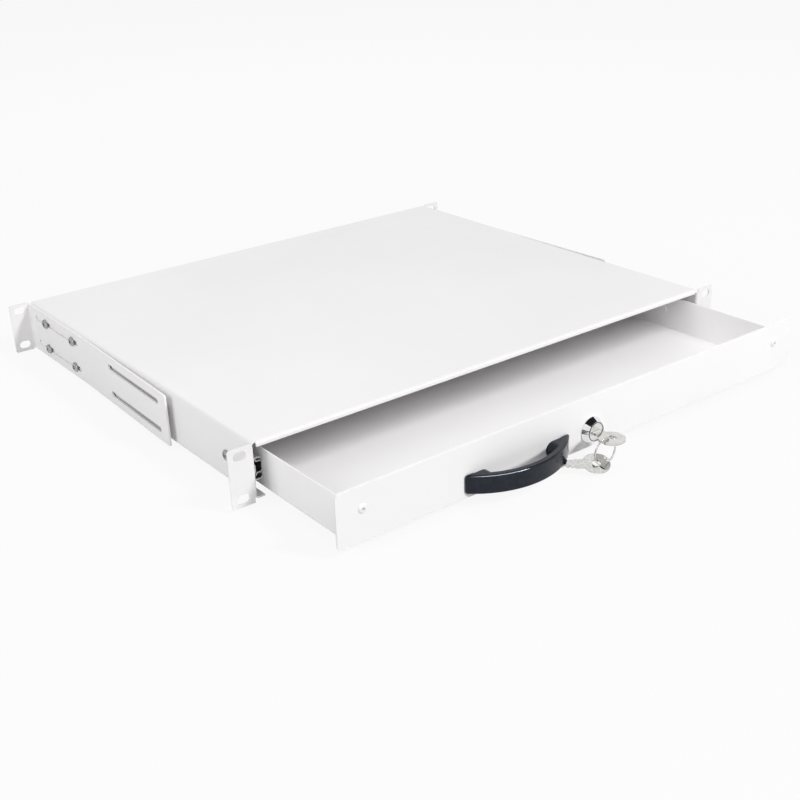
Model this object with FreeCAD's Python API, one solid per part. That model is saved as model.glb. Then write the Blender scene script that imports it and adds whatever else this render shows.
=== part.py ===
import FreeCAD, Part
import math
import os

from FreeCAD import Placement, Rotation, Vector

# Keyboard drawer for a 19-inch rack, one height unit high, in folded sheet steel.
# Millimetres, X to the right, Y to the back, Z up. The origin is the middle of the
# four rack slots, on the front face of the ears. The drawer stands part open.

# Rack standard
rack_width = 482.6
ear_reach = 18.8
ear_height = 43.6
slot_inset = 8.75
slot_pitch_z = 31.75
rack_slot_length = 10.0
rack_slot_width = 6.8
ear_corner = 1.5

# Housing, one folded sheet, open at the front, the back and the bottom
housing_depth = 375.0
housing_top = 22.0
housing_foot = 20.5
housing_sheet = 1.2
housing_bend = 2.0
edge_bend = 1.0
top_lip = 3.5
bottom_lip = 8.0
corner_relief = 0.3

# Rear brackets, adjustable along the side walls
bracket_sheet = 1.5
bracket_height = 41.0
bracket_length = 265.0
bracket_overhang = 2.5
bracket_bend = 1.0
bracket_corner = 2.0
bracket_clearance = 0.1
bracket_splay = 1.6
splay_length = 150.0
splay_bend = 60.0
long_slot_length = 89.0
long_slot_width = 4.5
long_slot_margin = 12.5
long_slot_height = 11.5

# Screws and rivets
screw_diameter = 3.85
screw_head_diameter = 8.0
screw_head_height = 2.2
head_rounding = 0.6
screw_clearance = 0.05
thread_runout = 0.8
bracket_screw_inset = 35.0
bracket_screw_pitch = 55.0
collar_diameter = 5.6
collar_length = 1.5
bracket_screw_reach = 3.0
slide_screw_places = (36.0, 130.0)
slide_screw_reach = 1.6
rivet_diameter = 4.0
rivet_head_diameter = 7.0
rivet_head_height = 1.3
rivet_rim_height = 0.3
rivet_crown_diameter = 5.0
rivet_crown_height = 1.1
rivet_mandrel = 1.8
rivet_mandrel_depth = 0.8
rivet_mandrel_bevel = 0.3
rivet_tail_diameter = 5.2
rivet_tail_length = 1.4

# Drawer tray and front panel
drawer_open = 93.0
drawer_full_open = 250.0
closed_gap = 0.5
drawer_rear_gap = 30.0
drawer_floor = 17.5
drawer_wall_top = 13.0
drawer_sheet = 1.0
drawer_bend = 1.0
rear_wall_gap = 0.3
front_flange = 20.0
flange_bend = 2.5
flange_relief = 1.5
panel_inset = 0.5
panel_sheet = 1.5
panel_corner = 3.5
panel_rivet_height = 6.0

# Ball slides
slide_width = 9.3
slide_height = 17.0
slide_level = 0.0
slide_sheet = 1.0
slide_front = 5.0
slide_rear_gap = 20.0
outer_depth = 8.0
inner_setback = 100.0
inner_bend = 1.0
ball_diameter = 2.4
race_clearance = 0.2
balls_per_row = 6
ball_pitch = 15.0
cage_sheet = 0.4
cage_gap = 0.6
cage_bend = 0.6
cage_margin = 7.5
pocket_clearance = 0.15
lip_overlap = 0.1
stop_tab_width = 6.0
stop_tab_height = 1.8
stop_gap = 1.0
slide_rivet_diameter = 3.2
slide_rivet_margin = 20.0
slide_rivets_per_side = 3
slide_rivet_head_height = 1.0

# Bow handle
handle_x = -72.5
handle_z = -7.0
handle_span = 95.0
handle_reach = 21.0
handle_height = 14.0
handle_band = 4.5
handle_tip_gap = 0.8
handle_edge = 1.6
handle_corner = 2.5
foot_pitch = 72.0
foot_length = 20.0
foot_height = 12.0
foot_skin = 1.0
handle_screw_length = 5.5

# Cam lock
lock_x = -2.5
lock_z = -4.5
bezel_diameter = 20.0
bezel_face_diameter = 15.0
bezel_height = 5.0
bezel_rim = 0.6
bezel_recess = 0.3
barrel_diameter = 16.0
barrel_length = 16.0
barrel_clearance = 0.1
nut_width = 19.0
nut_thickness = 4.0
plug_diameter = 11.0
plug_head_diameter = 12.4
plug_head_thickness = 1.2
plug_clearance = 0.08
plug_tail_length = 2.6
plug_square = 7.0
square_clearance = 0.05
cam_reach = 23.5
cam_width = 11.0
cam_corner = 3.85
cam_thickness = 2.0
cam_gap = 0.3
cam_screw_diameter = 4.0
cam_screw_head_diameter = 9.0
cam_screw_head_height = 2.5
cam_screw_length = 5.0
strike_sheet = 1.2
strike_width = 30.0
strike_drop = 8.0
strike_foot = 9.0
strike_gap = 0.7

# Keys and ring
key_thickness = 1.8
key_blade_width = 6.5
key_blade_length = 18.0
key_neck_width = 8.0
key_neck_length = 5.5
key_bow_width = 18.5
key_bow_length = 19.0
key_bow_corner = 8.5
key_hole_diameter = 6.6
key_cut_depths = (1.2, 2.0, 0.8, 1.6)
key_cut_pitch = 3.4
key_cut_start = 4.0
key_tip_cut = 2.5
key_tip_radius = 0.5
keyway_clearance = 0.15
key_seat_gap = 0.2
ring_radius = 10.0
ring_wire_diameter = 1.3
ring_seat_gap = 0.15
spare_key_angle = 207.0
spare_blade_direction = Vector(-0.83, 0.55, 0.05)
spare_hole_gap = 0.4

# Places worked out from the sizes above
housing_width = rack_width - 2 * ear_reach
slot_pitch_x = rack_width - 2 * slot_inset
wall_inside = housing_width / 2 - housing_sheet
edge_fold = edge_bend + housing_sheet
screw_bore = screw_diameter + 2 * screw_clearance
panel_back = -drawer_open
panel_front = panel_back - panel_sheet
panel_width = housing_width - 2 * panel_inset
drawer_width = housing_width - 2 * housing_sheet - 2 * slide_width
drawer_depth = housing_depth - drawer_rear_gap
panel_rivet_pitch = drawer_width - front_flange
rivet_bore = rivet_diameter + 2 * screw_clearance
outer_length = housing_depth - slide_front - slide_rear_gap
inner_length = drawer_depth - inner_setback
slide_rivet_bore = slide_rivet_diameter + 2 * screw_clearance
slide_rivet_pitch = (inner_length - 2 * slide_rivet_margin) / (slide_rivets_per_side - 1)
slide_rivet_places = [slide_rivet_margin + index * slide_rivet_pitch
                      for index in range(slide_rivets_per_side)]
race_radius = ball_diameter / 2 + race_clearance
ball_depth = outer_depth - slide_sheet - race_radius
ball_rise = slide_height / 2 - slide_sheet - race_radius
cage_length = (balls_per_row - 1) * ball_pitch + 2 * cage_margin
cage_front = slide_front + slide_sheet + stop_gap + (drawer_full_open - drawer_open) / 2
inner_front = panel_back + inner_setback
bracket_rear = housing_depth + bracket_overhang
bracket_front = bracket_rear - bracket_length
bracket_screw_places = (housing_depth - bracket_screw_inset,
                        housing_depth - bracket_screw_inset - bracket_screw_pitch)
lock_face = panel_front - bezel_height
barrel_end = panel_back + barrel_length
key_seat = lock_face + bezel_recess - key_seat_gap
key_hole_centre = key_seat - key_neck_length - key_bow_length / 2
ring_centre_x = lock_x - (key_bow_width + key_hole_diameter) / 4
key_land = (key_bow_width - key_hole_diameter) / 2
ring_reach = ring_radius - ring_wire_diameter / 2 - ring_seat_gap
ring_centre_z = lock_z + key_thickness / 2 - math.sqrt(ring_reach ** 2 - (key_land / 2) ** 2)

# Drawing planes: the two drawing directions become X and Y, X and Z, or Y and Z
IN_XY = Rotation()
IN_XZ = Rotation(Vector(1, 0, 0), 90)
IN_YZ = Rotation(Vector(1, 1, 1), 120)
TINY = 1e-6


def line(start, end):
    """Straight edge, as a list that is empty where the two points are one."""
    if (end - start).Length < TINY:
        return []
    return [Part.LineSegment(start, end).toShape()]


def bend_arc(before, corner, after, radius, shift):
    """Points where a round corner starts, passes and ends, shifted to the left of the middle line."""
    arriving = (corner - before) / (corner - before).Length
    leaving = (after - corner) / (after - corner).Length
    arriving_left = Vector(-arriving.y, arriving.x, 0)
    leaving_left = Vector(-leaving.y, leaving.x, 0)
    turn = math.copysign(1, arriving.cross(leaving).z)
    setback = radius * math.tan(arriving.getAngle(leaving) / 2)
    start = corner - arriving * setback
    centre = start + arriving_left * (turn * radius)
    outward = (corner - centre) / (corner - centre).Length
    passing = centre + outward * (radius - turn * shift)
    return start + arriving_left * shift, passing, corner + leaving * setback + leaving_left * shift


def placed(edges, plane, base, run):
    """Solid from a closed outline, drawn flat, laid in a plane at base and run along a vector."""
    face = Part.Face(Part.Wire(Part.__sortEdges__(edges)))
    face.Placement = Placement(base, plane)
    return face.extrude(run)


def folded_sheet(points, sheet, plane, base, run):
    """Sheet folded along its middle line: points are (u, v, inside bend radius)."""
    corners = [Vector(u, v, 0) for u, v, inside in points]
    faces = []
    for side in (1, -1):
        shift = side * sheet / 2
        first = corners[1] - corners[0]
        last = corners[-1] - corners[-2]
        here = corners[0] + Vector(-first.y, first.x, 0) * (shift / first.Length)
        ending = corners[-1] + Vector(-last.y, last.x, 0) * (shift / last.Length)
        edges = []
        path = [here]
        for index in range(1, len(corners) - 1):
            radius = points[index][2] + sheet / 2
            arc = bend_arc(corners[index - 1], corners[index], corners[index + 1], radius, shift)
            edges += line(here, arc[0])
            edges.append(Part.Arc(*arc).toShape())
            here = arc[2]
        edges += line(here, ending)
        path.append(ending)
        faces.append((edges, path))
    (left, left_ends), (right, right_ends) = faces
    caps = line(left_ends[0], right_ends[0]) + line(left_ends[1], right_ends[1])
    return placed(left + right + caps, plane, base, run)


def rounded_plate(points, plane, base, run):
    """Plate with a closed outline: points are (u, v, corner radius), in order round the outline."""
    corners = [Vector(u, v, 0) for u, v, radius in points]
    count = len(corners)
    stops = []
    for index, (u, v, radius) in enumerate(points):
        corner = corners[index]
        if radius == 0:
            stops.append((corner, None, corner))
        else:
            stops.append(bend_arc(corners[index - 1], corner, corners[(index + 1) % count], radius, 0))
    edges = []
    for index, (start, passing, end) in enumerate(stops):
        if passing is not None:
            edges.append(Part.Arc(start, passing, end).toShape())
        edges += line(end, stops[(index + 1) % count][0])
    return placed(edges, plane, base, run)


def rectangle(u_low, u_high, v_low, v_high, radius):
    """Outline of a rectangle with equal round corners."""
    return [(u_low, v_low, radius), (u_high, v_low, radius),
            (u_high, v_high, radius), (u_low, v_high, radius)]


def obround(u, v, length, width):
    """Outline of a slot with round ends, its length along u."""
    return rectangle(u - length / 2, u + length / 2, v - width / 2, v + width / 2, width / 2)


def turned(profile, x, z):
    """Solid turned about an axis along Y through x and z: profile is (radius, y) round the outline."""
    points = [Vector(x + radius, y, z) for radius, y in profile]
    face = Part.Face(Part.makePolygon(points + points[:1]))
    return face.revolve(Vector(x, 0, z), Vector(0, 1, 0), 360)


def rod(diameter, start, run):
    """Round bar from a point along a vector."""
    return Part.makeCylinder(diameter / 2, run.Length, start, run)


def mirrored(shape):
    """The same piece on the other side of the rack."""
    return shape.mirror(Vector(0, 0, 0), Vector(1, 0, 0))


def pan_screw(seat, direction, length, head_diameter, head_height, diameter):
    """Pan-head screw: the head sits on seat, the shank runs along direction."""
    head = rod(head_diameter, seat, direction * -head_height)
    outer = [edge for edge in head.Edges if abs(edge.CenterOfMass.sub(seat).dot(direction)) > head_height / 2]
    head = head.makeFillet(head_height * head_rounding, [edge for edge in outer if edge.Closed])
    return head.fuse(rod(diameter, seat, direction * length))


def bracket_outline():
    """Middle line of the left bracket, from the tip of its ear to the front end of its leg."""
    leg = housing_width / 2 + bracket_clearance + bracket_sheet / 2
    ear = bracket_rear - bracket_sheet / 2
    splay = splay_length * math.tan(math.radians(bracket_splay))
    return [(-rack_width / 2 + ear_corner, ear, 0),
            (-leg, ear, bracket_bend),
            (-leg, bracket_front + splay_length, splay_bend),
            (-leg - splay, bracket_front, 0)]


def rack_ear(inner_edge, front_face, sheet):
    """Plate of the left rack ear, from inner_edge to the rack's full width."""
    tip = -rack_width / 2
    half = ear_height / 2
    return rounded_plate([(tip, -half, ear_corner), (inner_edge, -half, 0), (inner_edge, half, 0),
                          (tip, half, ear_corner)], IN_XZ, Vector(0, front_face, 0), Vector(0, sheet, 0))


def rack_slots(front_face, sheet):
    """The two slots of the left rack ear, as cutters."""
    cutters = []
    for z in (-slot_pitch_z / 2, slot_pitch_z / 2):
        outline = obround(-slot_pitch_x / 2, z, rack_slot_length, rack_slot_width)
        cutters.append(rounded_plate(outline, IN_XZ, Vector(0, front_face, 0), Vector(0, sheet, 0)))
    return cutters


def housing():
    """Folded housing with front ears, top lip, bottom lips and tapped collars for the bracket screws."""
    side = (housing_width - housing_sheet) / 2
    top = housing_top - housing_sheet / 2
    foot = housing_sheet / 2 - housing_foot
    lip_end = housing_width / 2 - bottom_lip
    shell = folded_sheet([(-lip_end, foot, 0), (-side, foot, housing_bend), (-side, top, housing_bend),
                          (side, top, housing_bend), (side, foot, housing_bend), (lip_end, foot, 0)],
                         housing_sheet, IN_XZ, Vector(0, edge_fold, 0),
                         Vector(0, housing_depth - edge_fold, 0))
    lip_half = wall_inside - housing_bend - corner_relief
    lip = folded_sheet([(housing_sheet / 2, housing_top - top_lip, 0), (housing_sheet / 2, top, edge_bend),
                        (2 * edge_fold, top, 0)],
                       housing_sheet, IN_YZ, Vector(-lip_half, 0, 0), Vector(2 * lip_half, 0, 0))
    low = housing_sheet + housing_bend - housing_foot
    high = housing_top - housing_sheet - housing_bend
    ear_root = -side - edge_bend - housing_sheet / 2
    fold = folded_sheet([(ear_root - edge_fold, housing_sheet / 2, 0), (-side, housing_sheet / 2, edge_bend),
                         (-side, 2 * edge_fold, 0)],
                        housing_sheet, IN_XY, Vector(0, 0, low), Vector(0, 0, high - low))
    left_ear = fold.fuse(rack_ear(ear_root, 0, housing_sheet))
    collars = []
    bores = []
    for y in bracket_screw_places:
        for z in (-long_slot_height, long_slot_height):
            start = Vector(-housing_width / 2, y, z)
            collars.append(rod(collar_diameter, start, Vector(housing_sheet + collar_length, 0, 0)))
            bores.append(rod(screw_bore, start, Vector(housing_sheet + collar_length, 0, 0)))
    for y in slide_screw_places:
        start = Vector(-housing_width / 2, y, slide_level)
        bores.append(rod(screw_bore, start, Vector(housing_sheet, 0, 0)))
    cutters = bores + rack_slots(0, housing_sheet)
    pieces = [left_ear, *collars]
    body = shell.fuse([lip] + pieces + [mirrored(piece) for piece in pieces])
    return body.cut(cutters + [mirrored(cutter) for cutter in cutters]).removeSplitter()


def rear_bracket():
    """Left bracket: rear ear, long leg along the wall, two pairs of long slots, front part set outwards."""
    sheet = folded_sheet(bracket_outline(), bracket_sheet, IN_XY, Vector(0, 0, -bracket_height / 2),
                         Vector(0, 0, bracket_height))
    outline = rectangle(bracket_front, bracket_rear + 2 * bracket_corner, -bracket_height / 2,
                        bracket_height / 2, bracket_corner)
    rack_side = Vector(-rack_width / 2, 0, 0)
    sheet = sheet.common(rounded_plate(outline, IN_YZ, rack_side, -rack_side))
    ear_root = bracket_outline()[1][0] - bracket_bend - bracket_sheet / 2
    body = sheet.fuse(rack_ear(ear_root, bracket_rear - bracket_sheet, bracket_sheet))
    cutters = rack_slots(bracket_rear - bracket_sheet, bracket_sheet)
    first = bracket_front + long_slot_margin + long_slot_length / 2
    last = bracket_rear - bracket_sheet - long_slot_margin - long_slot_length / 2
    for y in (first, last):
        for z in (-long_slot_height, long_slot_height):
            outline = obround(y, z, long_slot_length, long_slot_width)
            cutters.append(rounded_plate(outline, IN_YZ, rack_side, -rack_side))
    return body.cut(cutters).removeSplitter()


def bracket_screws():
    """Four pan-head screws through the rear slots of the left bracket into the wall's collars."""
    seat = -housing_width / 2 - 2 * bracket_clearance - bracket_sheet
    length = bracket_sheet + 2 * bracket_clearance + housing_sheet + bracket_screw_reach
    screws = []
    for y in bracket_screw_places:
        for z in (-long_slot_height, long_slot_height):
            screws.append(pan_screw(Vector(seat, y, z), Vector(1, 0, 0), length, screw_head_diameter,
                                    screw_head_height, screw_diameter))
    return Part.Compound(screws)


def slide_profile_outer():
    """Middle line of the outer member from the wall inwards: u is the depth, v the height."""
    web = slide_sheet / 2
    flange = (slide_height - slide_sheet) / 2
    lip = outer_depth - slide_sheet / 2
    lip_end = ball_rise - lip_overlap
    return [(lip, -lip_end, 0), (lip, -flange, race_radius), (web, -flange, race_radius),
            (web, flange, race_radius), (lip, flange, race_radius), (lip, lip_end, 0)]


def slide_profile_inner():
    """Middle line of the inner member, whose web lies on the tray's wall."""
    web = slide_width - slide_sheet / 2
    flange = ball_rise - race_radius - slide_sheet / 2
    lip = ball_depth - race_radius - slide_sheet / 2
    lip_end = ball_rise + lip_overlap
    return [(lip, lip_end, 0), (lip, flange, race_radius), (web, flange, inner_bend),
            (web, -flange, inner_bend), (lip, -flange, race_radius), (lip, -lip_end, 0)]


def slide_origin(y):
    """Place on the left wall that slide profiles are drawn from."""
    return Vector(-wall_inside, y, slide_level)


def slide_outer():
    """Left outer member with a stop tab at each end."""
    member = folded_sheet(slide_profile_outer(), slide_sheet, IN_XZ, slide_origin(slide_front),
                          Vector(0, outer_length, 0))
    tabs = []
    for y in (slide_front, slide_front + outer_length - slide_sheet):
        corner = slide_origin(y) + Vector(0, 0, -stop_tab_width / 2)
        tabs.append(Part.makeBox(slide_sheet + stop_tab_height, slide_sheet, stop_tab_width, corner))
    bores = [rod(screw_bore, slide_origin(y), Vector(slide_sheet, 0, 0))
             for y in slide_screw_places]
    return member.fuse(tabs).cut(bores).removeSplitter()


def slide_inner():
    """Left inner member, riveted to the rear part of the tray's wall."""
    member = folded_sheet(slide_profile_inner(), slide_sheet, IN_XZ, slide_origin(inner_front),
                          Vector(0, inner_length, 0))
    bores = [rod(slide_rivet_bore, slide_origin(inner_front + y),
                 Vector(slide_width + drawer_sheet, 0, 0)) for y in slide_rivet_places]
    return member.cut(bores)


def ball_places():
    """Middles of the balls of the left slide."""
    first = cage_front + cage_margin
    return [slide_origin(first + index * ball_pitch) + Vector(ball_depth, 0, side * ball_rise)
            for index in range(balls_per_row) for side in (-1, 1)]


def ball_cage():
    """Left ball cage: thin channel whose flanges have an open pocket round each ball."""
    flange = ball_rise + (race_radius + lip_overlap) / 2
    web = ball_depth - race_radius - slide_sheet - cage_gap - cage_sheet / 2
    reach = ball_depth + race_radius / 2
    channel = folded_sheet([(reach, -flange, 0), (web, -flange, cage_bend), (web, flange, cage_bend),
                            (reach, flange, 0)],
                           cage_sheet, IN_XZ, slide_origin(cage_front), Vector(0, cage_length, 0))
    pocket = ball_diameter + 2 * pocket_clearance
    cutters = [rod(pocket, place + Vector(0, 0, -ball_diameter), Vector(0, 0, 2 * ball_diameter))
               for place in ball_places()]
    return channel.cut(cutters)


def slide_balls():
    """Balls of the left slide."""
    return Part.Compound([Part.makeSphere(ball_diameter / 2, place) for place in ball_places()])


def slide_screws():
    """Pan-head screws through the left wall into the outer member."""
    length = housing_sheet + slide_screw_reach
    return Part.Compound([pan_screw(Vector(-housing_width / 2, y, slide_level), Vector(1, 0, 0), length,
                                    screw_head_diameter, screw_head_height, screw_diameter)
                          for y in slide_screw_places])


def slide_rivets():
    """Rivets that hold the left inner member to the tray's wall, their flat heads inside the tray."""
    rivets = []
    for y in slide_rivet_places:
        web_face = slide_origin(inner_front + y) + Vector(slide_width - slide_sheet, 0, 0)
        wall_face = web_face + Vector(slide_sheet + drawer_sheet, 0, 0)
        shank = rod(slide_rivet_diameter, web_face, wall_face - web_face)
        tail = rod(rivet_tail_diameter, web_face, Vector(-rivet_tail_length, 0, 0))
        head = rod(rivet_head_diameter, wall_face, Vector(slide_rivet_head_height, 0, 0))
        rivets.append(shank.fuse([tail, head]))
    return Part.Compound(rivets)


def drawer_tray():
    """Folded tray: floor, side walls with inward front flanges, and a rear wall."""
    side = (drawer_width - drawer_sheet) / 2
    floor = drawer_sheet / 2 - drawer_floor
    fold = drawer_bend + drawer_sheet
    flange_fold = flange_bend + drawer_sheet
    rear = panel_back + drawer_depth
    channel = folded_sheet([(-side, drawer_wall_top, 0), (-side, floor, drawer_bend),
                            (side, floor, drawer_bend), (side, drawer_wall_top, 0)],
                           drawer_sheet, IN_XZ, Vector(0, panel_back + flange_fold, 0),
                           Vector(0, drawer_depth - flange_fold - fold, 0))
    floor_half = drawer_width / 2 - fold
    wall = folded_sheet([(rear - 2 * fold, floor, 0), (rear - drawer_sheet / 2, floor, drawer_bend),
                         (rear - drawer_sheet / 2, drawer_wall_top, 0)],
                        drawer_sheet, IN_YZ, Vector(-floor_half, 0, 0), Vector(2 * floor_half, 0, 0))
    apron = Part.makeBox(2 * floor_half, 2 * flange_fold, drawer_sheet,
                         Vector(-floor_half, panel_back, -drawer_floor))
    low = fold + flange_relief - drawer_floor
    flange = folded_sheet([(-side, panel_back + 2 * flange_fold, 0),
                           (-side, panel_back + drawer_sheet / 2, flange_bend),
                           (front_flange - drawer_width / 2, panel_back + drawer_sheet / 2, 0)],
                          drawer_sheet, IN_XY, Vector(0, 0, low), Vector(0, 0, drawer_wall_top - low))
    tab_low = fold + rear_wall_gap - drawer_floor
    tab = Part.makeBox(drawer_sheet, fold, drawer_wall_top - tab_low,
                       Vector(-drawer_width / 2, rear - fold, tab_low))
    bores = [rod(slide_rivet_bore, slide_origin(inner_front + y),
                 Vector(slide_width + 2 * drawer_sheet, 0, 0)) for y in slide_rivet_places]
    bores.append(rod(rivet_bore,
                     Vector(-panel_rivet_pitch / 2, panel_front, panel_rivet_height),
                     Vector(0, panel_sheet + 2 * drawer_sheet, 0)))
    sides = [flange, tab]
    body = channel.fuse([wall, apron] + sides + [mirrored(piece) for piece in sides])
    return body.cut(bores + [mirrored(bore) for bore in bores]).removeSplitter()


def front_panel():
    """Flat front panel with holes for the rivets, the handle's screws and the lock."""
    through = Vector(0, panel_sheet, 0)
    outline = rectangle(-panel_width / 2, panel_width / 2, -drawer_floor, housing_top, panel_corner)
    plate = rounded_plate(outline, IN_XZ, Vector(0, panel_front, 0), through)
    bores = [rod(barrel_diameter + 2 * barrel_clearance, Vector(lock_x, panel_front, lock_z), through)]
    for x in (-panel_rivet_pitch / 2, panel_rivet_pitch / 2):
        bores.append(rod(rivet_bore, Vector(x, panel_front, panel_rivet_height), through))
    for x in (handle_x - foot_pitch / 2, handle_x + foot_pitch / 2):
        bores.append(rod(screw_bore, Vector(x, panel_front, handle_z), through))
    return plate.cut(bores)


def panel_rivets():
    """Blind rivets between the panel and the tray's flanges, with the mandrel's hollow in the head."""
    back = panel_back + drawer_sheet
    shank = rivet_diameter / 2
    mouth = panel_front - rivet_head_height
    hollow = mouth + rivet_mandrel_depth
    profile = [(0, hollow), (rivet_mandrel / 2, hollow),
               (rivet_mandrel / 2 + rivet_mandrel_bevel, mouth),
               (rivet_crown_diameter / 2, panel_front - rivet_crown_height),
               (rivet_head_diameter / 2, panel_front - rivet_rim_height),
               (rivet_head_diameter / 2, panel_front), (shank, panel_front), (shank, back),
               (rivet_tail_diameter / 2, back), (rivet_tail_diameter / 2, back + rivet_tail_length),
               (0, back + 2 * rivet_tail_length)]
    left = turned(profile, -panel_rivet_pitch / 2, panel_rivet_height)
    return Part.Compound([left, mirrored(left)])


def handle():
    """Bow handle: a bent band with round edges on two feet, each with a pilot hole."""
    half_span = handle_span / 2
    rise = handle_reach - handle_tip_gap
    radius = (half_span ** 2 + rise ** 2) / (2 * rise)
    low = handle_z - handle_height / 2
    centre = Vector(handle_x, panel_front - handle_reach + radius, low)
    up = Vector(0, 0, handle_height)
    disc = rod(2 * radius, centre, up)
    band = disc.cut(rod(2 * (radius - handle_band), centre, up))
    front = Part.makeBox(handle_span, handle_reach, handle_height,
                         Vector(handle_x - half_span, panel_front - handle_reach - handle_tip_gap, low))
    band = band.common(front)
    rims = [edge for edge in band.Edges
            if isinstance(edge.Curve, Part.Circle) and edge.Curve.Radius > radius - TINY]
    band = band.makeFillet(handle_edge, rims)
    outline = rectangle(handle_x - half_span, handle_x + half_span, low, low + handle_height, handle_corner)
    band = band.common(rounded_plate(outline, IN_XZ, Vector(0, panel_front, 0), Vector(0, -handle_reach, 0)))
    inside = rod(2 * (radius - foot_skin), centre, up)
    feet = []
    pilots = []
    for x in (handle_x - foot_pitch / 2, handle_x + foot_pitch / 2):
        foot = rounded_plate(obround(x, handle_z, foot_length, foot_height), IN_XZ,
                             Vector(0, panel_front, 0), Vector(0, -handle_reach, 0))
        feet.append(foot.common(inside))
        pilots.append(rod(screw_bore, Vector(x, panel_front, handle_z),
                          Vector(0, -handle_screw_length - thread_runout, 0)))
    return band.fuse(feet).cut(pilots).removeSplitter()


def handle_screws():
    """Two pan-head screws from inside the tray into the handle's feet."""
    length = panel_sheet + handle_screw_length
    return Part.Compound([pan_screw(Vector(x, panel_back, handle_z), Vector(0, -1, 0), length,
                                    screw_head_diameter, screw_head_height, screw_diameter)
                          for x in (handle_x - foot_pitch / 2, handle_x + foot_pitch / 2)])


def lock_body():
    """Lock case: bevelled bezel, barrel through the panel, bore for the plug."""
    bore = plug_diameter / 2 + plug_clearance
    head_bore = plug_head_diameter / 2 + plug_clearance
    head_seat = lock_face + bezel_recess + plug_head_thickness + plug_clearance
    return turned([(head_bore, lock_face), (bezel_face_diameter / 2, lock_face),
                   (bezel_diameter / 2, panel_front - bezel_rim), (bezel_diameter / 2, panel_front),
                   (barrel_diameter / 2, panel_front), (barrel_diameter / 2, barrel_end),
                   (bore, barrel_end), (bore, head_seat), (head_bore, head_seat)], lock_x, lock_z)


def lock_nut():
    """Six-sided nut on the barrel, against the back of the panel."""
    corner = nut_width / math.sqrt(3)
    angles = [math.radians(60 * index) for index in range(6)]
    outline = [(lock_x + corner * math.cos(angle), lock_z + corner * math.sin(angle), 0) for angle in angles]
    nut = rounded_plate(outline, IN_XZ, Vector(0, panel_back, 0), Vector(0, nut_thickness, 0))
    return nut.cut(rod(barrel_diameter + 2 * screw_clearance, Vector(lock_x, panel_back, lock_z),
                       Vector(0, nut_thickness, 0)))


def cam_front():
    """Front face of the cam, just behind the barrel."""
    return barrel_end + cam_gap


def lock_plug():
    """Turning plug: head with keyway, round core, square tail for the cam."""
    front = lock_face + bezel_recess
    core = turned([(0, front), (plug_head_diameter / 2, front),
                   (plug_head_diameter / 2, front + plug_head_thickness),
                   (plug_diameter / 2, front + plug_head_thickness), (plug_diameter / 2, cam_front()),
                   (0, cam_front())], lock_x, lock_z)
    half = plug_square / 2
    tail = Part.makeBox(plug_square, plug_tail_length, plug_square,
                        Vector(lock_x - half, cam_front(), lock_z - half))
    keyway_width = key_blade_width + 2 * keyway_clearance
    keyway_height = key_thickness + 2 * keyway_clearance
    keyway = Part.makeBox(keyway_width, key_blade_length + thread_runout, keyway_height,
                          Vector(lock_x - keyway_width / 2, front, lock_z - keyway_height / 2))
    tail_end = cam_front() + plug_tail_length
    thread = rod(cam_screw_diameter + 2 * screw_clearance, Vector(lock_x, tail_end, lock_z),
                 Vector(0, -cam_screw_length - thread_runout, 0))
    return core.fuse(tail).cut([keyway, thread]).removeSplitter()


def lock_cam():
    """Flat cam on the plug's tail, pointing right when unlocked and up when locked."""
    hub = cam_width / 2
    outline = rectangle(lock_x - hub, lock_x + cam_reach, lock_z - hub, lock_z + hub, cam_corner)
    plate = rounded_plate(outline, IN_XZ, Vector(0, cam_front(), 0), Vector(0, cam_thickness, 0))
    opening = plug_square + 2 * square_clearance
    square = Part.makeBox(opening, cam_thickness, opening,
                          Vector(lock_x - opening / 2, cam_front(), lock_z - opening / 2))
    return plate.cut(square)


def cam_screw():
    """Screw that keeps the cam on the plug."""
    return pan_screw(Vector(lock_x, cam_front() + plug_tail_length, lock_z), Vector(0, -1, 0),
                     cam_screw_length, cam_screw_head_diameter, cam_screw_head_height, cam_screw_diameter)


def lock_strike():
    """Angle under the housing's top: with the drawer shut, the raised cam stands behind it."""
    back = cam_front() - panel_back - closed_gap - strike_gap
    upright = back - strike_sheet / 2
    top = housing_top - housing_sheet - strike_sheet / 2
    return folded_sheet([(back - strike_foot, top, 0), (upright, top, edge_bend),
                         (upright, housing_top - housing_sheet - strike_drop, 0)],
                        strike_sheet, IN_YZ, Vector(lock_x - strike_width / 2, 0, 0),
                        Vector(strike_width, 0, 0))


def key():
    """Key lying flat: its hole is at the origin, its blade points along Y."""
    seat = key_bow_length / 2 + key_neck_length
    tip = seat + key_blade_length
    half = key_thickness / 2
    lift = Vector(0, 0, key_thickness)
    base = Vector(0, 0, -half)
    bow = rounded_plate(rectangle(-key_bow_width / 2, key_bow_width / 2, -key_bow_length / 2,
                                  key_bow_length / 2, key_bow_corner), IN_XY, base, lift)
    neck = rounded_plate(rectangle(-key_neck_width / 2, key_neck_width / 2, 0, seat, 0), IN_XY, base, lift)
    edge = key_blade_width / 2
    shoulder = tip - key_tip_cut
    blade = rounded_plate([(-edge, 0, 0), (edge, 0, 0), (edge, shoulder, 0), (0, tip, key_tip_radius),
                           (-edge, shoulder, 0)], IN_XY, base, lift)
    cutters = [rod(key_hole_diameter, base, lift)]
    for index, depth in enumerate(key_cut_depths):
        y = seat + key_cut_start + index * key_cut_pitch
        cutters.append(rounded_plate([(edge - depth, y, 0), (edge, y - depth, 0), (edge, y + depth, 0)],
                                     IN_XY, base, lift))
    return bow.fuse([neck, blade]).cut(cutters).removeSplitter()


def lock_key():
    """Key pushed home in the plug, its bow level."""
    shape = key()
    shape.Placement = Placement(Vector(lock_x, key_hole_centre, lock_z), Rotation())
    return shape


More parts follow.
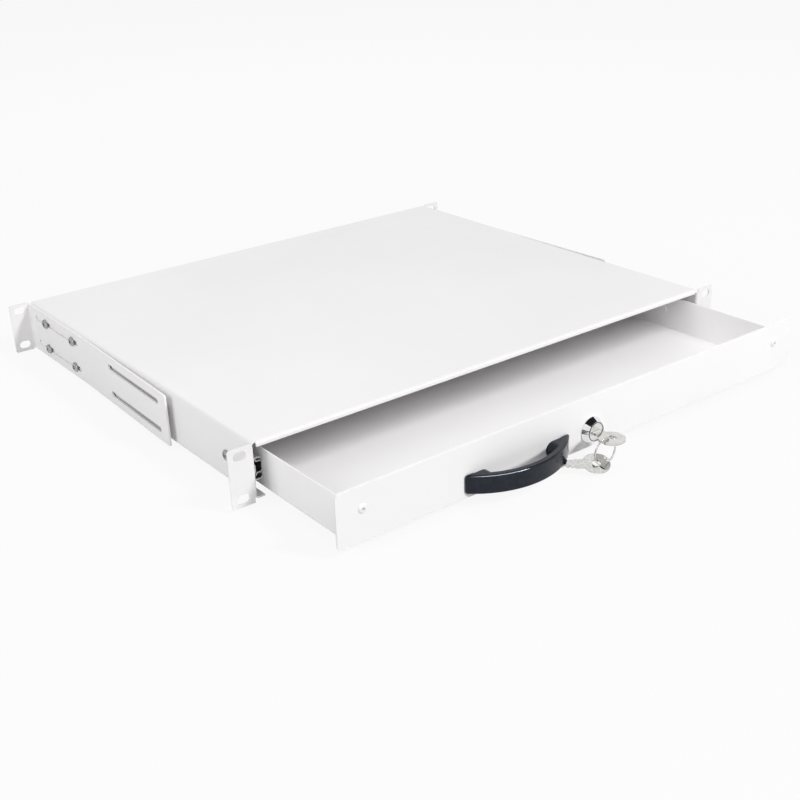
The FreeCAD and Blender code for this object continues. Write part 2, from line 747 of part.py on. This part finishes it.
def key_ring():
    """Wire ring through the bow of the key in the lock, hanging parallel to the panel."""
    return Part.makeTorus(ring_radius, ring_wire_diameter / 2,
                          Vector(ring_centre_x, key_hole_centre, ring_centre_z), Vector(0, 1, 0))


def spare_key_seat():
    """Point of the ring that carries the spare key, and the wire's direction there."""
    angle = math.radians(spare_key_angle)
    point = Vector(ring_centre_x + ring_radius * math.cos(angle), key_hole_centre,
                   ring_centre_z + ring_radius * math.sin(angle))
    return point, Vector(-math.sin(angle), 0, math.cos(angle))


def spare_key():
    """Spare key on the ring, its blade leaning back to the panel beside the handle."""
    point, wire = spare_key_seat()
    blade = spare_blade_direction / spare_blade_direction.Length
    flat = wire - blade * wire.dot(blade)
    flat = flat / flat.Length
    across = blade.cross(flat)
    shape = key()
    hang = (key_hole_diameter - ring_wire_diameter) / 2 - spare_hole_gap
    shape.Placement = Placement(point + across * hang, Rotation(across, blade, flat, "YZX"))
    return shape


def both_sides(name, shape):
    """The left piece and its mirror image on the right."""
    return {name + "_left": shape, name + "_right": mirrored(shape)}


pieces = {
    "housing": housing(),
    "lock_strike": lock_strike(),
    **both_sides("rear_bracket", rear_bracket()),
    **both_sides("bracket_screws", bracket_screws()),
    **both_sides("slide_outer", slide_outer()),
    **both_sides("slide_screws", slide_screws()),
    **both_sides("ball_cage", ball_cage()),
    **both_sides("slide_balls", slide_balls()),
    **both_sides("slide_inner", slide_inner()),
    **both_sides("slide_rivets", slide_rivets()),
    "drawer_tray": drawer_tray(),
    "front_panel": front_panel(),
    "panel_rivets": panel_rivets(),
    "handle": handle(),
    "handle_screws": handle_screws(),
    "lock_body": lock_body(),
    "lock_nut": lock_nut(),
    "lock_plug": lock_plug(),
    "lock_cam": lock_cam(),
    "cam_screw": cam_screw(),
    "lock_key": lock_key(),
    "key_ring": key_ring(),
    "spare_key": spare_key(),
}

os.makedirs("parts", exist_ok=True)
for name, shape in pieces.items():
    shape.exportStep(os.path.join("parts", name + ".step"))
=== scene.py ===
import math

import bmesh
import bpy
from mathutils import Matrix, Vector


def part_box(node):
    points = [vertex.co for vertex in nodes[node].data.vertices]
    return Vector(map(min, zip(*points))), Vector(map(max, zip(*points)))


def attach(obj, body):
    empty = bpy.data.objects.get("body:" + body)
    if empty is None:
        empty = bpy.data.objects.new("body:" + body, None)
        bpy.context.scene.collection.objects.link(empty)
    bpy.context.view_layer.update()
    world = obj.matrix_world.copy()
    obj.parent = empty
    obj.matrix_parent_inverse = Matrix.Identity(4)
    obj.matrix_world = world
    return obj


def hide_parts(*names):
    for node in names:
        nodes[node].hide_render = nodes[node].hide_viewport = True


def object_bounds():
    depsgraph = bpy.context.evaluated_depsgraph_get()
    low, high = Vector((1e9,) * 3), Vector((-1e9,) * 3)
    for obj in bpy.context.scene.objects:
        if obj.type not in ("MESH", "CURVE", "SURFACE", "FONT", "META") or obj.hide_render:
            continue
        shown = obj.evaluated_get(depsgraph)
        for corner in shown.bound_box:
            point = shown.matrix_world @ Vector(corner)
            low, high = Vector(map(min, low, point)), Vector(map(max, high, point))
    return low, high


# Looks of a rack keyboard drawer: paint, plated steel, plastic, screw heads, split ring, light and camera.
# Metres, in the model's own frame: X to the right, Y to the back, Z up.

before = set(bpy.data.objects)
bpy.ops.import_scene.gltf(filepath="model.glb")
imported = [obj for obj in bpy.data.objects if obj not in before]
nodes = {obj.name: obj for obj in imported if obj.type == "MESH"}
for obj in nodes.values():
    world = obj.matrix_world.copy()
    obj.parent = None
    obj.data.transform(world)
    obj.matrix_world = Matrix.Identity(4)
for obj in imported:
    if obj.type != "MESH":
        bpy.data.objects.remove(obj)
cad_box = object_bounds()

# Camera, as the photograph was taken
picture_size = 800
camera_turn = math.radians(-36.659)
camera_lift = math.radians(24.369)
camera_roll = math.radians(-2.254)
focal_pixels = 1224.2
origin_pixel = (504.05, 383.04)
camera_distance = 0.93505
sensor_width = 36.0
nearest_view = 0.01

# Colours, linear
white = (1, 1, 1, 1)
coat_light = (0.845, 0.835, 0.840, 1)
coat_dark = (0.815, 0.806, 0.811, 1)
zinc_light = (0.62, 0.63, 0.64, 1)
zinc_dark = (0.46, 0.47, 0.48, 1)
screw_light = (0.50, 0.50, 0.51, 1)
screw_dark = (0.28, 0.28, 0.29, 1)
black_light = (0.014, 0.016, 0.022, 1)
black_dark = (0.006, 0.007, 0.011, 1)
gloss_tint = (0.78, 0.88, 1, 1)
chrome_light = (0.84, 0.84, 0.85, 1)
chrome_dark = (0.74, 0.74, 0.75, 1)
nickel_light = (0.71, 0.70, 0.68, 1)
nickel_dark = (0.60, 0.59, 0.57, 1)
polish_light = (0.75, 0.745, 0.73, 1)
polish_dark = (0.55, 0.545, 0.53, 1)
plug_light = (0.90, 0.90, 0.89, 1)
plug_dark = (0.60, 0.60, 0.60, 1)
# Painted shade: near-black colour of the line that stands in for the shade in the seam round the lock's face
shade_line_light = (0.060, 0.058, 0.056, 1)
shade_line_dark = (0.030, 0.029, 0.028, 1)
card_black = (0.01, 0.01, 0.012, 1)

# Noise on surfaces: patches of roughness are larger than the grain of the colour
noise_low = 0.3
noise_high = 0.7
patch_scale = 3
relief_depth = 0.00005

# Powder coat and plastic
coat_patches = 7
coat_mottle = 260
coat_roughness = (0.48, 0.60)
coat_peel = 900
coat_peel_strength = 0.12
coat_peel_depth = 0.00006
plastic_specular = 0.28

# Screw heads
wall_head = 0.0022
cam_head = 0.0025
recess_length = 0.0044
recess_width = 0.0011
recess_depth = 0.0013
head_segments = 40
dome_steps = 8
head_rim_share = 0.4
head_crown_share = 0.62
first_screw_turn = 0.4
next_screw_turn = 1.1
screw_edge_angle = math.radians(35)
same_point = 1e-6

# Rivet mandrels
mandrel_radius = 0.00088
mandrel_taper = 0.9
mandrel_shoulder = 0.0006
mandrel_height = 0.0007
mandrel_depth = 0.0011
mandrel_segments = 20

# Painted shade: dark line round the face of the lock, standing in for the shade in its seam
shade_line_radius = 0.0069
shade_line_half = 0.00030
shade_line_segments = 64
shade_line_sides = 8

# Split ring: the edge angle also serves the painted shade line round the lock's face
ring_turns = 2.06
ring_steps_per_turn = 72
ring_overlap_angle = math.radians(70)
ring_wire_share = 0.46
ring_bevel_share = 0.25
ring_edge_angle = math.radians(50)

# Light and stage
part_middle = (0, 0.05, 0)
panel_middle = (0, -0.1, 0)
ambient_strength = 0.40
main_power = 53.5
front_power = 10.0
left_power = 16.5
rear_power = 5.5
strip_power = 185.0
tray_power = 122.0
panel_power = 165.0
edge_power = 13.0
floor_drop = 0.001
stage_size = 12.0
floor_white = 0.66
floor_roughness = 0.9
floor_glow = 0.90


def add_object(name, data):
    """New object in the scene."""
    thing = bpy.data.objects.new(name, data)
    bpy.context.scene.collection.objects.link(thing)
    return thing


def aim(thing, place, target):
    """Put a lamp or card at a place and turn it to a point."""
    thing.location = place
    thing.rotation_euler = (Vector(target) - Vector(place)).to_track_quat("-Z", "Y").to_euler()


def camera_axes():
    """Right, up and back directions of the camera."""
    back = Vector((math.sin(camera_turn) * math.cos(camera_lift),
                   -math.cos(camera_turn) * math.cos(camera_lift), math.sin(camera_lift)))
    level_right = Vector((0, 0, 1)).cross(back).normalized()
    level_up = back.cross(level_right)
    right = level_right * math.cos(camera_roll) + level_up * math.sin(camera_roll)
    up = level_up * math.cos(camera_roll) - level_right * math.sin(camera_roll)
    return right, up, back


def place_camera():
    """Camera that puts the model's origin on its pixel of the photograph."""
    right, up, back = camera_axes()
    centre = picture_size / 2
    across = (origin_pixel[0] - centre) / focal_pixels * camera_distance
    above = (centre - origin_pixel[1]) / focal_pixels * camera_distance
    data = bpy.data.cameras.new("camera")
    data.sensor_width = sensor_width
    data.lens = focal_pixels / picture_size * sensor_width
    data.clip_start = nearest_view
    place = back * camera_distance - right * across - up * above
    camera = add_object("camera", data)
    camera.matrix_world = Matrix.Translation(place) @ Matrix((right, up, back)).transposed().to_4x4()
    bpy.context.scene.camera = camera


def new_material(name):
    """Material with a node tree."""
    material = bpy.data.materials.new(name)
    material.use_nodes = True
    return material


def shader_of(material):
    """Shader node of a material."""
    return material.node_tree.nodes["Principled BSDF"]


def noise(tree, scale, stretch=(1, 1, 1), detail=3):
    """Noise in the model's own space: scale is in waves per metre."""
    place = tree.nodes.new("ShaderNodeTexCoord")
    mapping = tree.nodes.new("ShaderNodeMapping")
    mapping.inputs["Scale"].default_value = stretch
    texture = tree.nodes.new("ShaderNodeTexNoise")
    texture.inputs["Scale"].default_value = scale
    texture.inputs["Detail"].default_value = detail
    tree.links.new(place.outputs["Object"], mapping.inputs["Vector"])
    tree.links.new(mapping.outputs["Vector"], texture.inputs["Vector"])
    return texture.outputs["Fac"]


def between(tree, factor, low, high):
    """Number that follows a noise from low to high."""
    node = tree.nodes.new("ShaderNodeMapRange")
    node.inputs["From Min"].default_value = noise_low
    node.inputs["From Max"].default_value = noise_high
    node.inputs["To Min"].default_value = low
    node.inputs["To Max"].default_value = high
    tree.links.new(factor, node.inputs["Value"])
    return node.outputs["Result"]


def colours(tree, factor, dark, light):
    """Colour that follows a noise from dark to light."""
    node = tree.nodes.new("ShaderNodeValToRGB")
    for stop, place, colour in zip(node.color_ramp.elements, (noise_low, noise_high), (dark, light)):
        stop.position = place
        stop.color = colour
    tree.links.new(factor, node.inputs["Fac"])
    return node.outputs["Color"]


def bump(tree, shader, height, strength, distance):
    """Small relief on the shader's surface."""
    node = tree.nodes.new("ShaderNodeBump")
    node.inputs["Strength"].default_value = strength
    node.inputs["Distance"].default_value = distance
    tree.links.new(height, node.inputs["Height"])
    tree.links.new(node.outputs["Normal"], shader.inputs["Normal"])


def surface(name, dark, light, rough, grain, metallic=1, stretch=(1, 1, 1), relief=0.1):
    """Material whose colour, roughness and relief follow noise: rough is a (low, high) pair."""
    material = new_material(name)
    tree = material.node_tree
    shader = shader_of(material)
    fine = noise(tree, grain, stretch)
    tree.links.new(colours(tree, fine, dark, light), shader.inputs["Base Color"])
    patches = noise(tree, grain / patch_scale, stretch)
    tree.links.new(between(tree, patches, *rough), shader.inputs["Roughness"])
    shader.inputs["Metallic"].default_value = metallic
    bump(tree, shader, fine, relief, relief_depth)
    return material


def powder_coat():
    """Light grey powder coat: broad tone changes and a fine orange-peel relief."""
    material = new_material("powder_coat")
    tree = material.node_tree
    shader = shader_of(material)
    tone = colours(tree, noise(tree, coat_patches), coat_dark, coat_light)
    tree.links.new(tone, shader.inputs["Base Color"])
    tree.links.new(between(tree, noise(tree, coat_mottle), *coat_roughness), shader.inputs["Roughness"])
    bump(tree, shader, noise(tree, coat_peel, detail=1), coat_peel_strength, coat_peel_depth)
    return material


def black_plastic():
    """Glossy black moulded plastic with a faint skin texture."""
    material = surface("black_plastic", black_dark, black_light, rough=(0.08, 0.12), grain=260, metallic=0,
                       relief=0.006)
    shader = shader_of(material)
    shader.inputs["Specular IOR Level"].default_value = plastic_specular
    shader.inputs["Specular Tint"].default_value = gloss_tint
    return material


def paint(material, *names):
    """Give CAD nodes a material."""
    for name in names:
        mesh = nodes[name].data
        mesh.materials.clear()
        mesh.materials.append(material)


def both(*names):
    """Names of the left and right nodes."""
    return [f"{name}_{side}" for name in names for side in ("left", "right")]


def mesh_of(build, name):
    """Mesh of the shape that was built; the building copy is freed."""
    mesh = bpy.data.meshes.new(name)
    build.to_mesh(mesh)
    build.free()
    return mesh


def add_piece(name, build, material, slot, body, *replaced):
    """New mesh piece that rides on a body and may stand for CAD nodes."""
    mesh = mesh_of(build, name)
    mesh.materials.append(material)
    piece = add_object(name, mesh)
    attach(piece, body)
    if replaced:
        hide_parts(*replaced)
    return piece


def smooth(piece, edge_angle):
    """Smooth shading, with edges sharper than an angle left crisp."""
    for face in piece.data.polygons:
        face.use_smooth = True
    piece.data.set_sharp_from_angle(angle=edge_angle)


def skin(build, rings):
    """Walls between rings of points, each joined to the next: a point that repeats makes a tip."""
    for before, after in zip(rings, rings[1:]):
        for index in range(len(before)):
            corners = [before[index], before[index - 1], after[index - 1], after[index]]
            build.faces.new(list(dict.fromkeys(corners)))


def lathe(build, profile, segments):
    """Turn a list of (radius, height) round the Z axis: it starts and ends on the axis."""
    rings = []
    for radius, height in profile:
        if radius == 0:
            rings.append([build.verts.new((0, 0, height))] * segments)
            continue
        ring = []
        for index in range(segments):
            angle = 2 * math.pi * index / segments
            ring.append(build.verts.new((radius * math.cos(angle), radius * math.sin(angle), height)))
        rings.append(ring)
    skin(build, rings)
    bmesh.ops.recalc_face_normals(build, faces=build.faces)


def turned_section(build, section, x, y, z, angle):
    """Points of a section, a list of (radius, offset), turned round an axis along Y through a point."""
    points = []
    for radius, offset in section:
        place = (x + radius * math.cos(angle), y + offset, z + radius * math.sin(angle))
        points.append(build.verts.new(place))
    return points


def stamp(build, mesh, place):
    """Add a copy of a mesh, moved by a matrix."""
    start = len(build.verts)
    build.from_mesh(mesh)
    build.verts.ensure_lookup_table()
    bmesh.ops.transform(build, matrix=place, verts=build.verts[start:])


def head_mesh(radius, height, shank_radius, shank_length):
    """Pan-head screw standing on Z = 0 with a cross recess in its domed head."""
    profile = [(0, -shank_length), (shank_radius, -shank_length), (shank_radius, 0), (radius, 0),
               (radius, height * head_rim_share)]
    for step in range(1, dome_steps):
        angle = math.pi / 2 * step / dome_steps
        profile.append((radius * (head_crown_share + (1 - head_crown_share) * math.cos(angle)),
                        height * (head_rim_share + (1 - head_rim_share) * math.sin(angle))))
    profile.append((0, height))
    build = bmesh.new()
    lathe(build, profile, head_segments)
    solid = add_object("head", mesh_of(build, "head"))
    cutter = bmesh.new()
    for size in ((recess_length, recess_width), (recess_width, recess_length)):
        place = Matrix.Translation((0, 0, height)) @ Matrix.Diagonal((*size, 2 * recess_depth, 1))
        bmesh.ops.create_cube(cutter, size=1, matrix=place)
    tool = add_object("cross", mesh_of(cutter, "cross"))
    cut = solid.modifiers.new("recess", "BOOLEAN")
    cut.object = tool
    cut.operation = "DIFFERENCE"
    cut.solver = "EXACT"
    cut.use_self = True
    bpy.context.view_layer.update()
    mesh = bpy.data.meshes.new_from_object(solid.evaluated_get(bpy.context.evaluated_depsgraph_get()))
    for thing in (solid, tool):
        bpy.data.objects.remove(thing)
    return mesh


def solid_boxes(name):
    """Boxes of the separate solids in a CAD node, as (low corner, high corner)."""
    build = bmesh.new()
    build.from_mesh(nodes[name].data)
    bmesh.ops.remove_doubles(build, verts=build.verts, dist=same_point)
    seen = set()
    boxes = []
    for start in build.verts:
        if start in seen:
            continue
        group = [start]
        seen.add(start)
        for vertex in group:
            for edge in vertex.link_edges:
                other = edge.other_vert(vertex)
                if other not in seen:
                    seen.add(other)
                    group.append(other)
        low = Vector(min(vertex.co[axis] for vertex in group) for axis in range(3))
        high = Vector(max(vertex.co[axis] for vertex in group) for axis in range(3))
        boxes.append((low, high))
    build.free()
    return boxes


def dress_screws(name, body, outward, head_height, material):
    """Screws with a cross recess in the place of a node's plain ones: outward is the way the heads face."""
    outward = Vector(outward)
    axis = max(range(3), key=lambda index: abs(outward[index]))
    upright = outward.to_track_quat("Z", "Y")
    boxes = solid_boxes(name)
    low, high = boxes[0]
    length = high[axis] - low[axis]
    radius = (high[axis - 1] - low[axis - 1]) / 2
    mesh = head_mesh(radius, head_height, radius / 2, length - head_height)
    build = bmesh.new()
    for index, (low, high) in enumerate(boxes):
        seat = (low + high) / 2 + outward * (length / 2 - head_height)
        turn = Matrix.Rotation(first_screw_turn + next_screw_turn * index, 3, "Z").to_quaternion()
        stamp(build, mesh, Matrix.Translation(seat) @ (upright @ turn).to_matrix().to_4x4())
    smooth(add_piece(name + "_dressed", build, material, "screw_steel", body, name), screw_edge_angle)


def dress_ring(material):
    """Split ring of flat wire, two turns side by side, in the place of the plain ring."""
    low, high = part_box("key_ring")
    middle = (low + high) / 2
    wide = (high.y - low.y) / 2
    outer = (high.x - low.x) / 2
    inner = outer - 2 * wide
    half = wide * ring_wire_share
    bevel = wide * ring_bevel_share
    section = ((inner, -half + bevel), (inner + bevel, -half), (outer - bevel, -half), (outer, -half + bevel),
               (outer, half - bevel), (outer - bevel, half), (inner + bevel, half), (inner, half - bevel))
    count = int(ring_turns * ring_steps_per_turn)
    build = bmesh.new()
    rings = []
    for index in range(count + 1):
        share = index / count
        angle = ring_overlap_angle + 2 * math.pi * ring_turns * share
        level = middle.y + wide * (share - 0.5)
        rings.append(turned_section(build, section, middle.x, level, middle.z, angle))
    skin(build, rings)
    build.faces.new(rings[0])
    build.faces.new(rings[-1][::-1])
    bmesh.ops.recalc_face_normals(build, faces=build.faces)
    smooth(add_piece("split_ring", build, material, "key_nickel", "ring", "key_ring"), ring_edge_angle)


def dress_rivets(material):
    """Mandrel stubs in the hollow heads of the panel's rivets."""
    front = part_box("panel_rivets")[0].y
    stub = bmesh.new()
    lathe(stub, [(0, 0), (mandrel_radius, 0), (mandrel_radius * mandrel_taper, mandrel_shoulder),
                 (0, mandrel_height)], mandrel_segments)
    mesh = mesh_of(stub, "stub")
    forward = Matrix.Rotation(math.pi / 2, 4, "X")
    build = bmesh.new()
    for low, high in solid_boxes("panel_rivets"):
        middle = (low + high) / 2
        stamp(build, mesh, Matrix.Translation((middle.x, front + mandrel_depth, middle.z)) @ forward)
    add_piece("rivet_mandrels", build, material, "screw_steel", "drawer")


def paint_seam_shade(material):
    """Painted shade: dark line round the lock's face, half sunk in it, standing in for the shade in its seam.
    """
    low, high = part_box("lock_body")
    middle = (low + high) / 2
    section = []
    for side in range(shade_line_sides):
        angle = 2 * math.pi * side / shade_line_sides
        radius = shade_line_radius + shade_line_half * math.cos(angle)
        section.append((radius, shade_line_half * math.sin(angle)))
    build = bmesh.new()
    rings = []
    for index in range(shade_line_segments):
        angle = 2 * math.pi * index / shade_line_segments
        rings.append(turned_section(build, section, middle.x, low.y, middle.z, angle))
    skin(build, rings + rings[:1])
    bmesh.ops.recalc_face_normals(build, faces=build.faces)
    smooth(add_piece("lock_seam_shade_line", build, material, "lock_chrome", "drawer"), ring_edge_angle)


def greater(tree, first, second):
    """The greater of two values of a node tree."""
    node = tree.nodes.new("ShaderNodeMath")
    node.operation = "MAXIMUM"
    tree.links.new(first, node.inputs[0])
    tree.links.new(second, node.inputs[1])
    return node.outputs["Value"]


def white_to_viewer(tree, lit, shown, strength, output):
    """Surface or world that is lit plainly, but shows as white to the camera and in reflections."""
    path = tree.nodes.new("ShaderNodeLightPath")
    seen = greater(tree, path.outputs["Is Camera Ray"], path.outputs["Is Glossy Ray"])
    seen = greater(tree, seen, path.outputs["Is Transmission Ray"])
    share = tree.nodes.new("ShaderNodeMath")
    share.operation = "MULTIPLY"
    share.inputs[1].default_value = strength
    tree.links.new(seen, share.inputs[0])
    mix = tree.nodes.new("ShaderNodeMixShader")
    tree.links.new(share.outputs["Value"], mix.inputs["Fac"])
    tree.links.new(lit.outputs[0], mix.inputs[1])
    tree.links.new(shown.outputs[0], mix.inputs[2])
    tree.links.new(mix.outputs["Shader"], tree.nodes[output].inputs["Surface"])


def flat_sheet(name, width, height, material):
    """Level rectangle round the origin."""
    x = width / 2
    y = height / 2
    mesh = bpy.data.meshes.new(name)
    mesh.from_pydata([(-x, -y, 0), (x, -y, 0), (x, y, 0), (-x, y, 0)], [], [(0, 1, 2, 3)])
    mesh.materials.append(material)
    return add_object(name, mesh)


def build_floor():
    """Pale floor under the lowest point of the part."""
    material = new_material("pale_floor")
    tree = material.node_tree
    shader = shader_of(material)
    shader.inputs["Base Color"].default_value = (floor_white, floor_white, floor_white, 1)
    shader.inputs["Roughness"].default_value = floor_roughness
    glow = tree.nodes.new("ShaderNodeEmission")
    glow.inputs["Color"].default_value = white
    white_to_viewer(tree, shader, glow, floor_glow, "Material Output")
    floor = flat_sheet("floor", stage_size, stage_size, material)
    floor.location.z = cad_box[0][2] - floor_drop


def build_world():
    """White surroundings that light the part dimly."""
    world = bpy.data.worlds.new("studio")
    bpy.context.scene.world = world
    world.use_nodes = True
    tree = world.node_tree
    lit = tree.nodes["Background"]
    lit.inputs["Color"].default_value = white
    lit.inputs["Strength"].default_value = ambient_strength
    shown = tree.nodes.new("ShaderNodeBackground")
    shown.inputs["Color"].default_value = white
    white_to_viewer(tree, lit, shown, 1, "World Output")


def add_lamp(name, place, target, size, power):
    """Rectangular soft lamp: size is a (width, height) pair."""
    data = bpy.data.lights.new(name, "AREA")
    data.shape = "RECTANGLE"
    data.size, data.size_y = size
    data.energy = power
    lamp = add_object(name, data)
    aim(lamp, place, target)
    return lamp


def limit_lamp(lamp, state, *names):
    """Let a lamp reach only these CAD nodes, or all but these: state is INCLUDE or EXCLUDE."""
    group = bpy.data.collections.new(lamp.name + "_nodes")
    lamp.light_linking.receiver_collection = group
    for name in names:
        group.objects.link(nodes[name])
    for entry in group.collection_objects:
        entry.light_linking.link_state = state


def add_card(name, place, target, width, height):
    """Dark card that only shows in polished surfaces."""
    material = new_material(name)
    shader = shader_of(material)
    shader.inputs["Base Color"].default_value = card_black
    shader.inputs["Roughness"].default_value = 1
    card = flat_sheet(name, width, height, material)
    aim(card, place, target)
    card.visible_camera = False
    card.visible_diffuse = False
    card.visible_shadow = False


bpy.context.scene.view_settings.view_transform = "Standard"
place_camera()

# Materials
coat = powder_coat()
zinc = surface("zinc_plate", zinc_dark, zinc_light, rough=(0.26, 0.40), grain=300, stretch=(1, 0.06, 1))
balls = surface("polished_steel", chrome_dark, chrome_light, rough=(0.05, 0.10), grain=900, relief=0.02)
screws = surface("screw_steel", screw_dark, screw_light, rough=(0.22, 0.34), grain=800)
alloy = surface("rivet_alloy", coat_dark, coat_light, rough=(0.34, 0.46), grain=900, metallic=0.15)
chrome = surface("lock_chrome", chrome_dark, chrome_light, rough=(0.03, 0.06), grain=600, relief=0.02)
brushed = surface("plug_steel", plug_dark, plug_light, rough=(0.26, 0.40), grain=1500, stretch=(0.15, 1, 1))
nickel = surface("key_nickel", nickel_dark, nickel_light, rough=(0.10, 0.20), grain=700,
                 stretch=(1, 0.25, 1), relief=0.04)
polish = surface("spare_key_nickel", polish_dark, polish_light, rough=(0.04, 0.08), grain=500, relief=0.02)
# Painted shade: near-black steel for the line that stands in for the shade in the lock's seam
seam_shade_paint = surface("painted_seam_shade", shade_line_dark, shade_line_light, rough=(0.45, 0.6), grain=900, metallic=0.8)
plastic = black_plastic()

paint(coat, "housing", "drawer_tray", "front_panel", "lock_strike", *both("rear_bracket"))
paint(zinc, "lock_nut", "lock_cam", *both("slide_outer", "slide_inner", "ball_cage"))
paint(balls, *both("slide_balls"))
paint(screws, "handle_screws", "cam_screw", *both("bracket_screws", "slide_screws"))
paint(alloy, "panel_rivets", *both("slide_rivets"))
paint(plastic, "handle")
paint(chrome, "lock_body")
paint(brushed, "lock_plug")
paint(nickel, "lock_key", "key_ring")
paint(polish, "spare_key")

# Fine shapes
for side, outward in (("left", (-1, 0, 0)), ("right", (1, 0, 0))):
    dress_screws("bracket_screws_" + side, "housing", outward, wall_head, screws)
    dress_screws("slide_screws_" + side, "housing", outward, wall_head, screws)
dress_screws("handle_screws", "drawer", (0, 1, 0), wall_head, screws)
dress_screws("cam_screw", "plug", (0, 1, 0), cam_head, screws)
dress_ring(nickel)
dress_rivets(zinc)
# Painted shade line in the seam round the lock's face
paint_seam_shade(seam_shade_paint)

# Stage, lamps and dark cards
build_floor()
build_world()
main = add_lamp("main_softbox", (0.95, -2.0, 2.0), part_middle, (0.5, 0.5), main_power)
front = add_lamp("front_fill", (-1.1, -1.9, 1.0), part_middle, (1.2, 1.2), front_power)
left = add_lamp("left_fill", (-2.0, 0.25, 1.0), (0, 0.1, 0), (1.2, 1.2), left_power)
rear = add_lamp("rear_softbox", (0.8, 1.6, 1.3), (0, 0.2, 0), (1.0, 1.0), rear_power)
strip = add_lamp("edge_strip", (-0.1, -1.45, 1.42), (-0.07, -0.1, 0), (1.9, 1.0), strip_power)
tray = add_lamp("tray_softbox", (-0.4, -2.4, 2.76), (0, 0, 0), (3.2, 2.4), tray_power)
panel = add_lamp("panel_lamp", (1.9, -4.0, 2.3), panel_middle, (0.8, 0.8), panel_power)
edge = add_lamp("panel_edge_lamp", (0, -0.1, 2.0), panel_middle, (0.5, 0.5), edge_power)
left.visible_glossy = False
strip.visible_diffuse = False
for lamp in (main, front):
    limit_lamp(lamp, "EXCLUDE", "drawer_tray", "front_panel")
limit_lamp(rear, "EXCLUDE", "drawer_tray")
limit_lamp(strip, "INCLUDE", "handle")
limit_lamp(tray, "INCLUDE", "drawer_tray")
for lamp in (panel, edge):
    limit_lamp(lamp, "INCLUDE", "front_panel")
add_card("dark_ceiling", (0, -0.21, 0.8), (0, -0.21, 0), 2.0, 0.48)
add_card("dark_horizon", (-1.6, -0.35, 0.09), (0, -0.35, 0.09), 1.4, 0.22)
add_card("dark_backdrop", (0.75, 0.95, 0.55), panel_middle, 0.9, 0.4)
add_card("dark_corner", (-0.75, 1.25, 0.6), (-0.22, 0.3, 0), 0.7, 0.5)
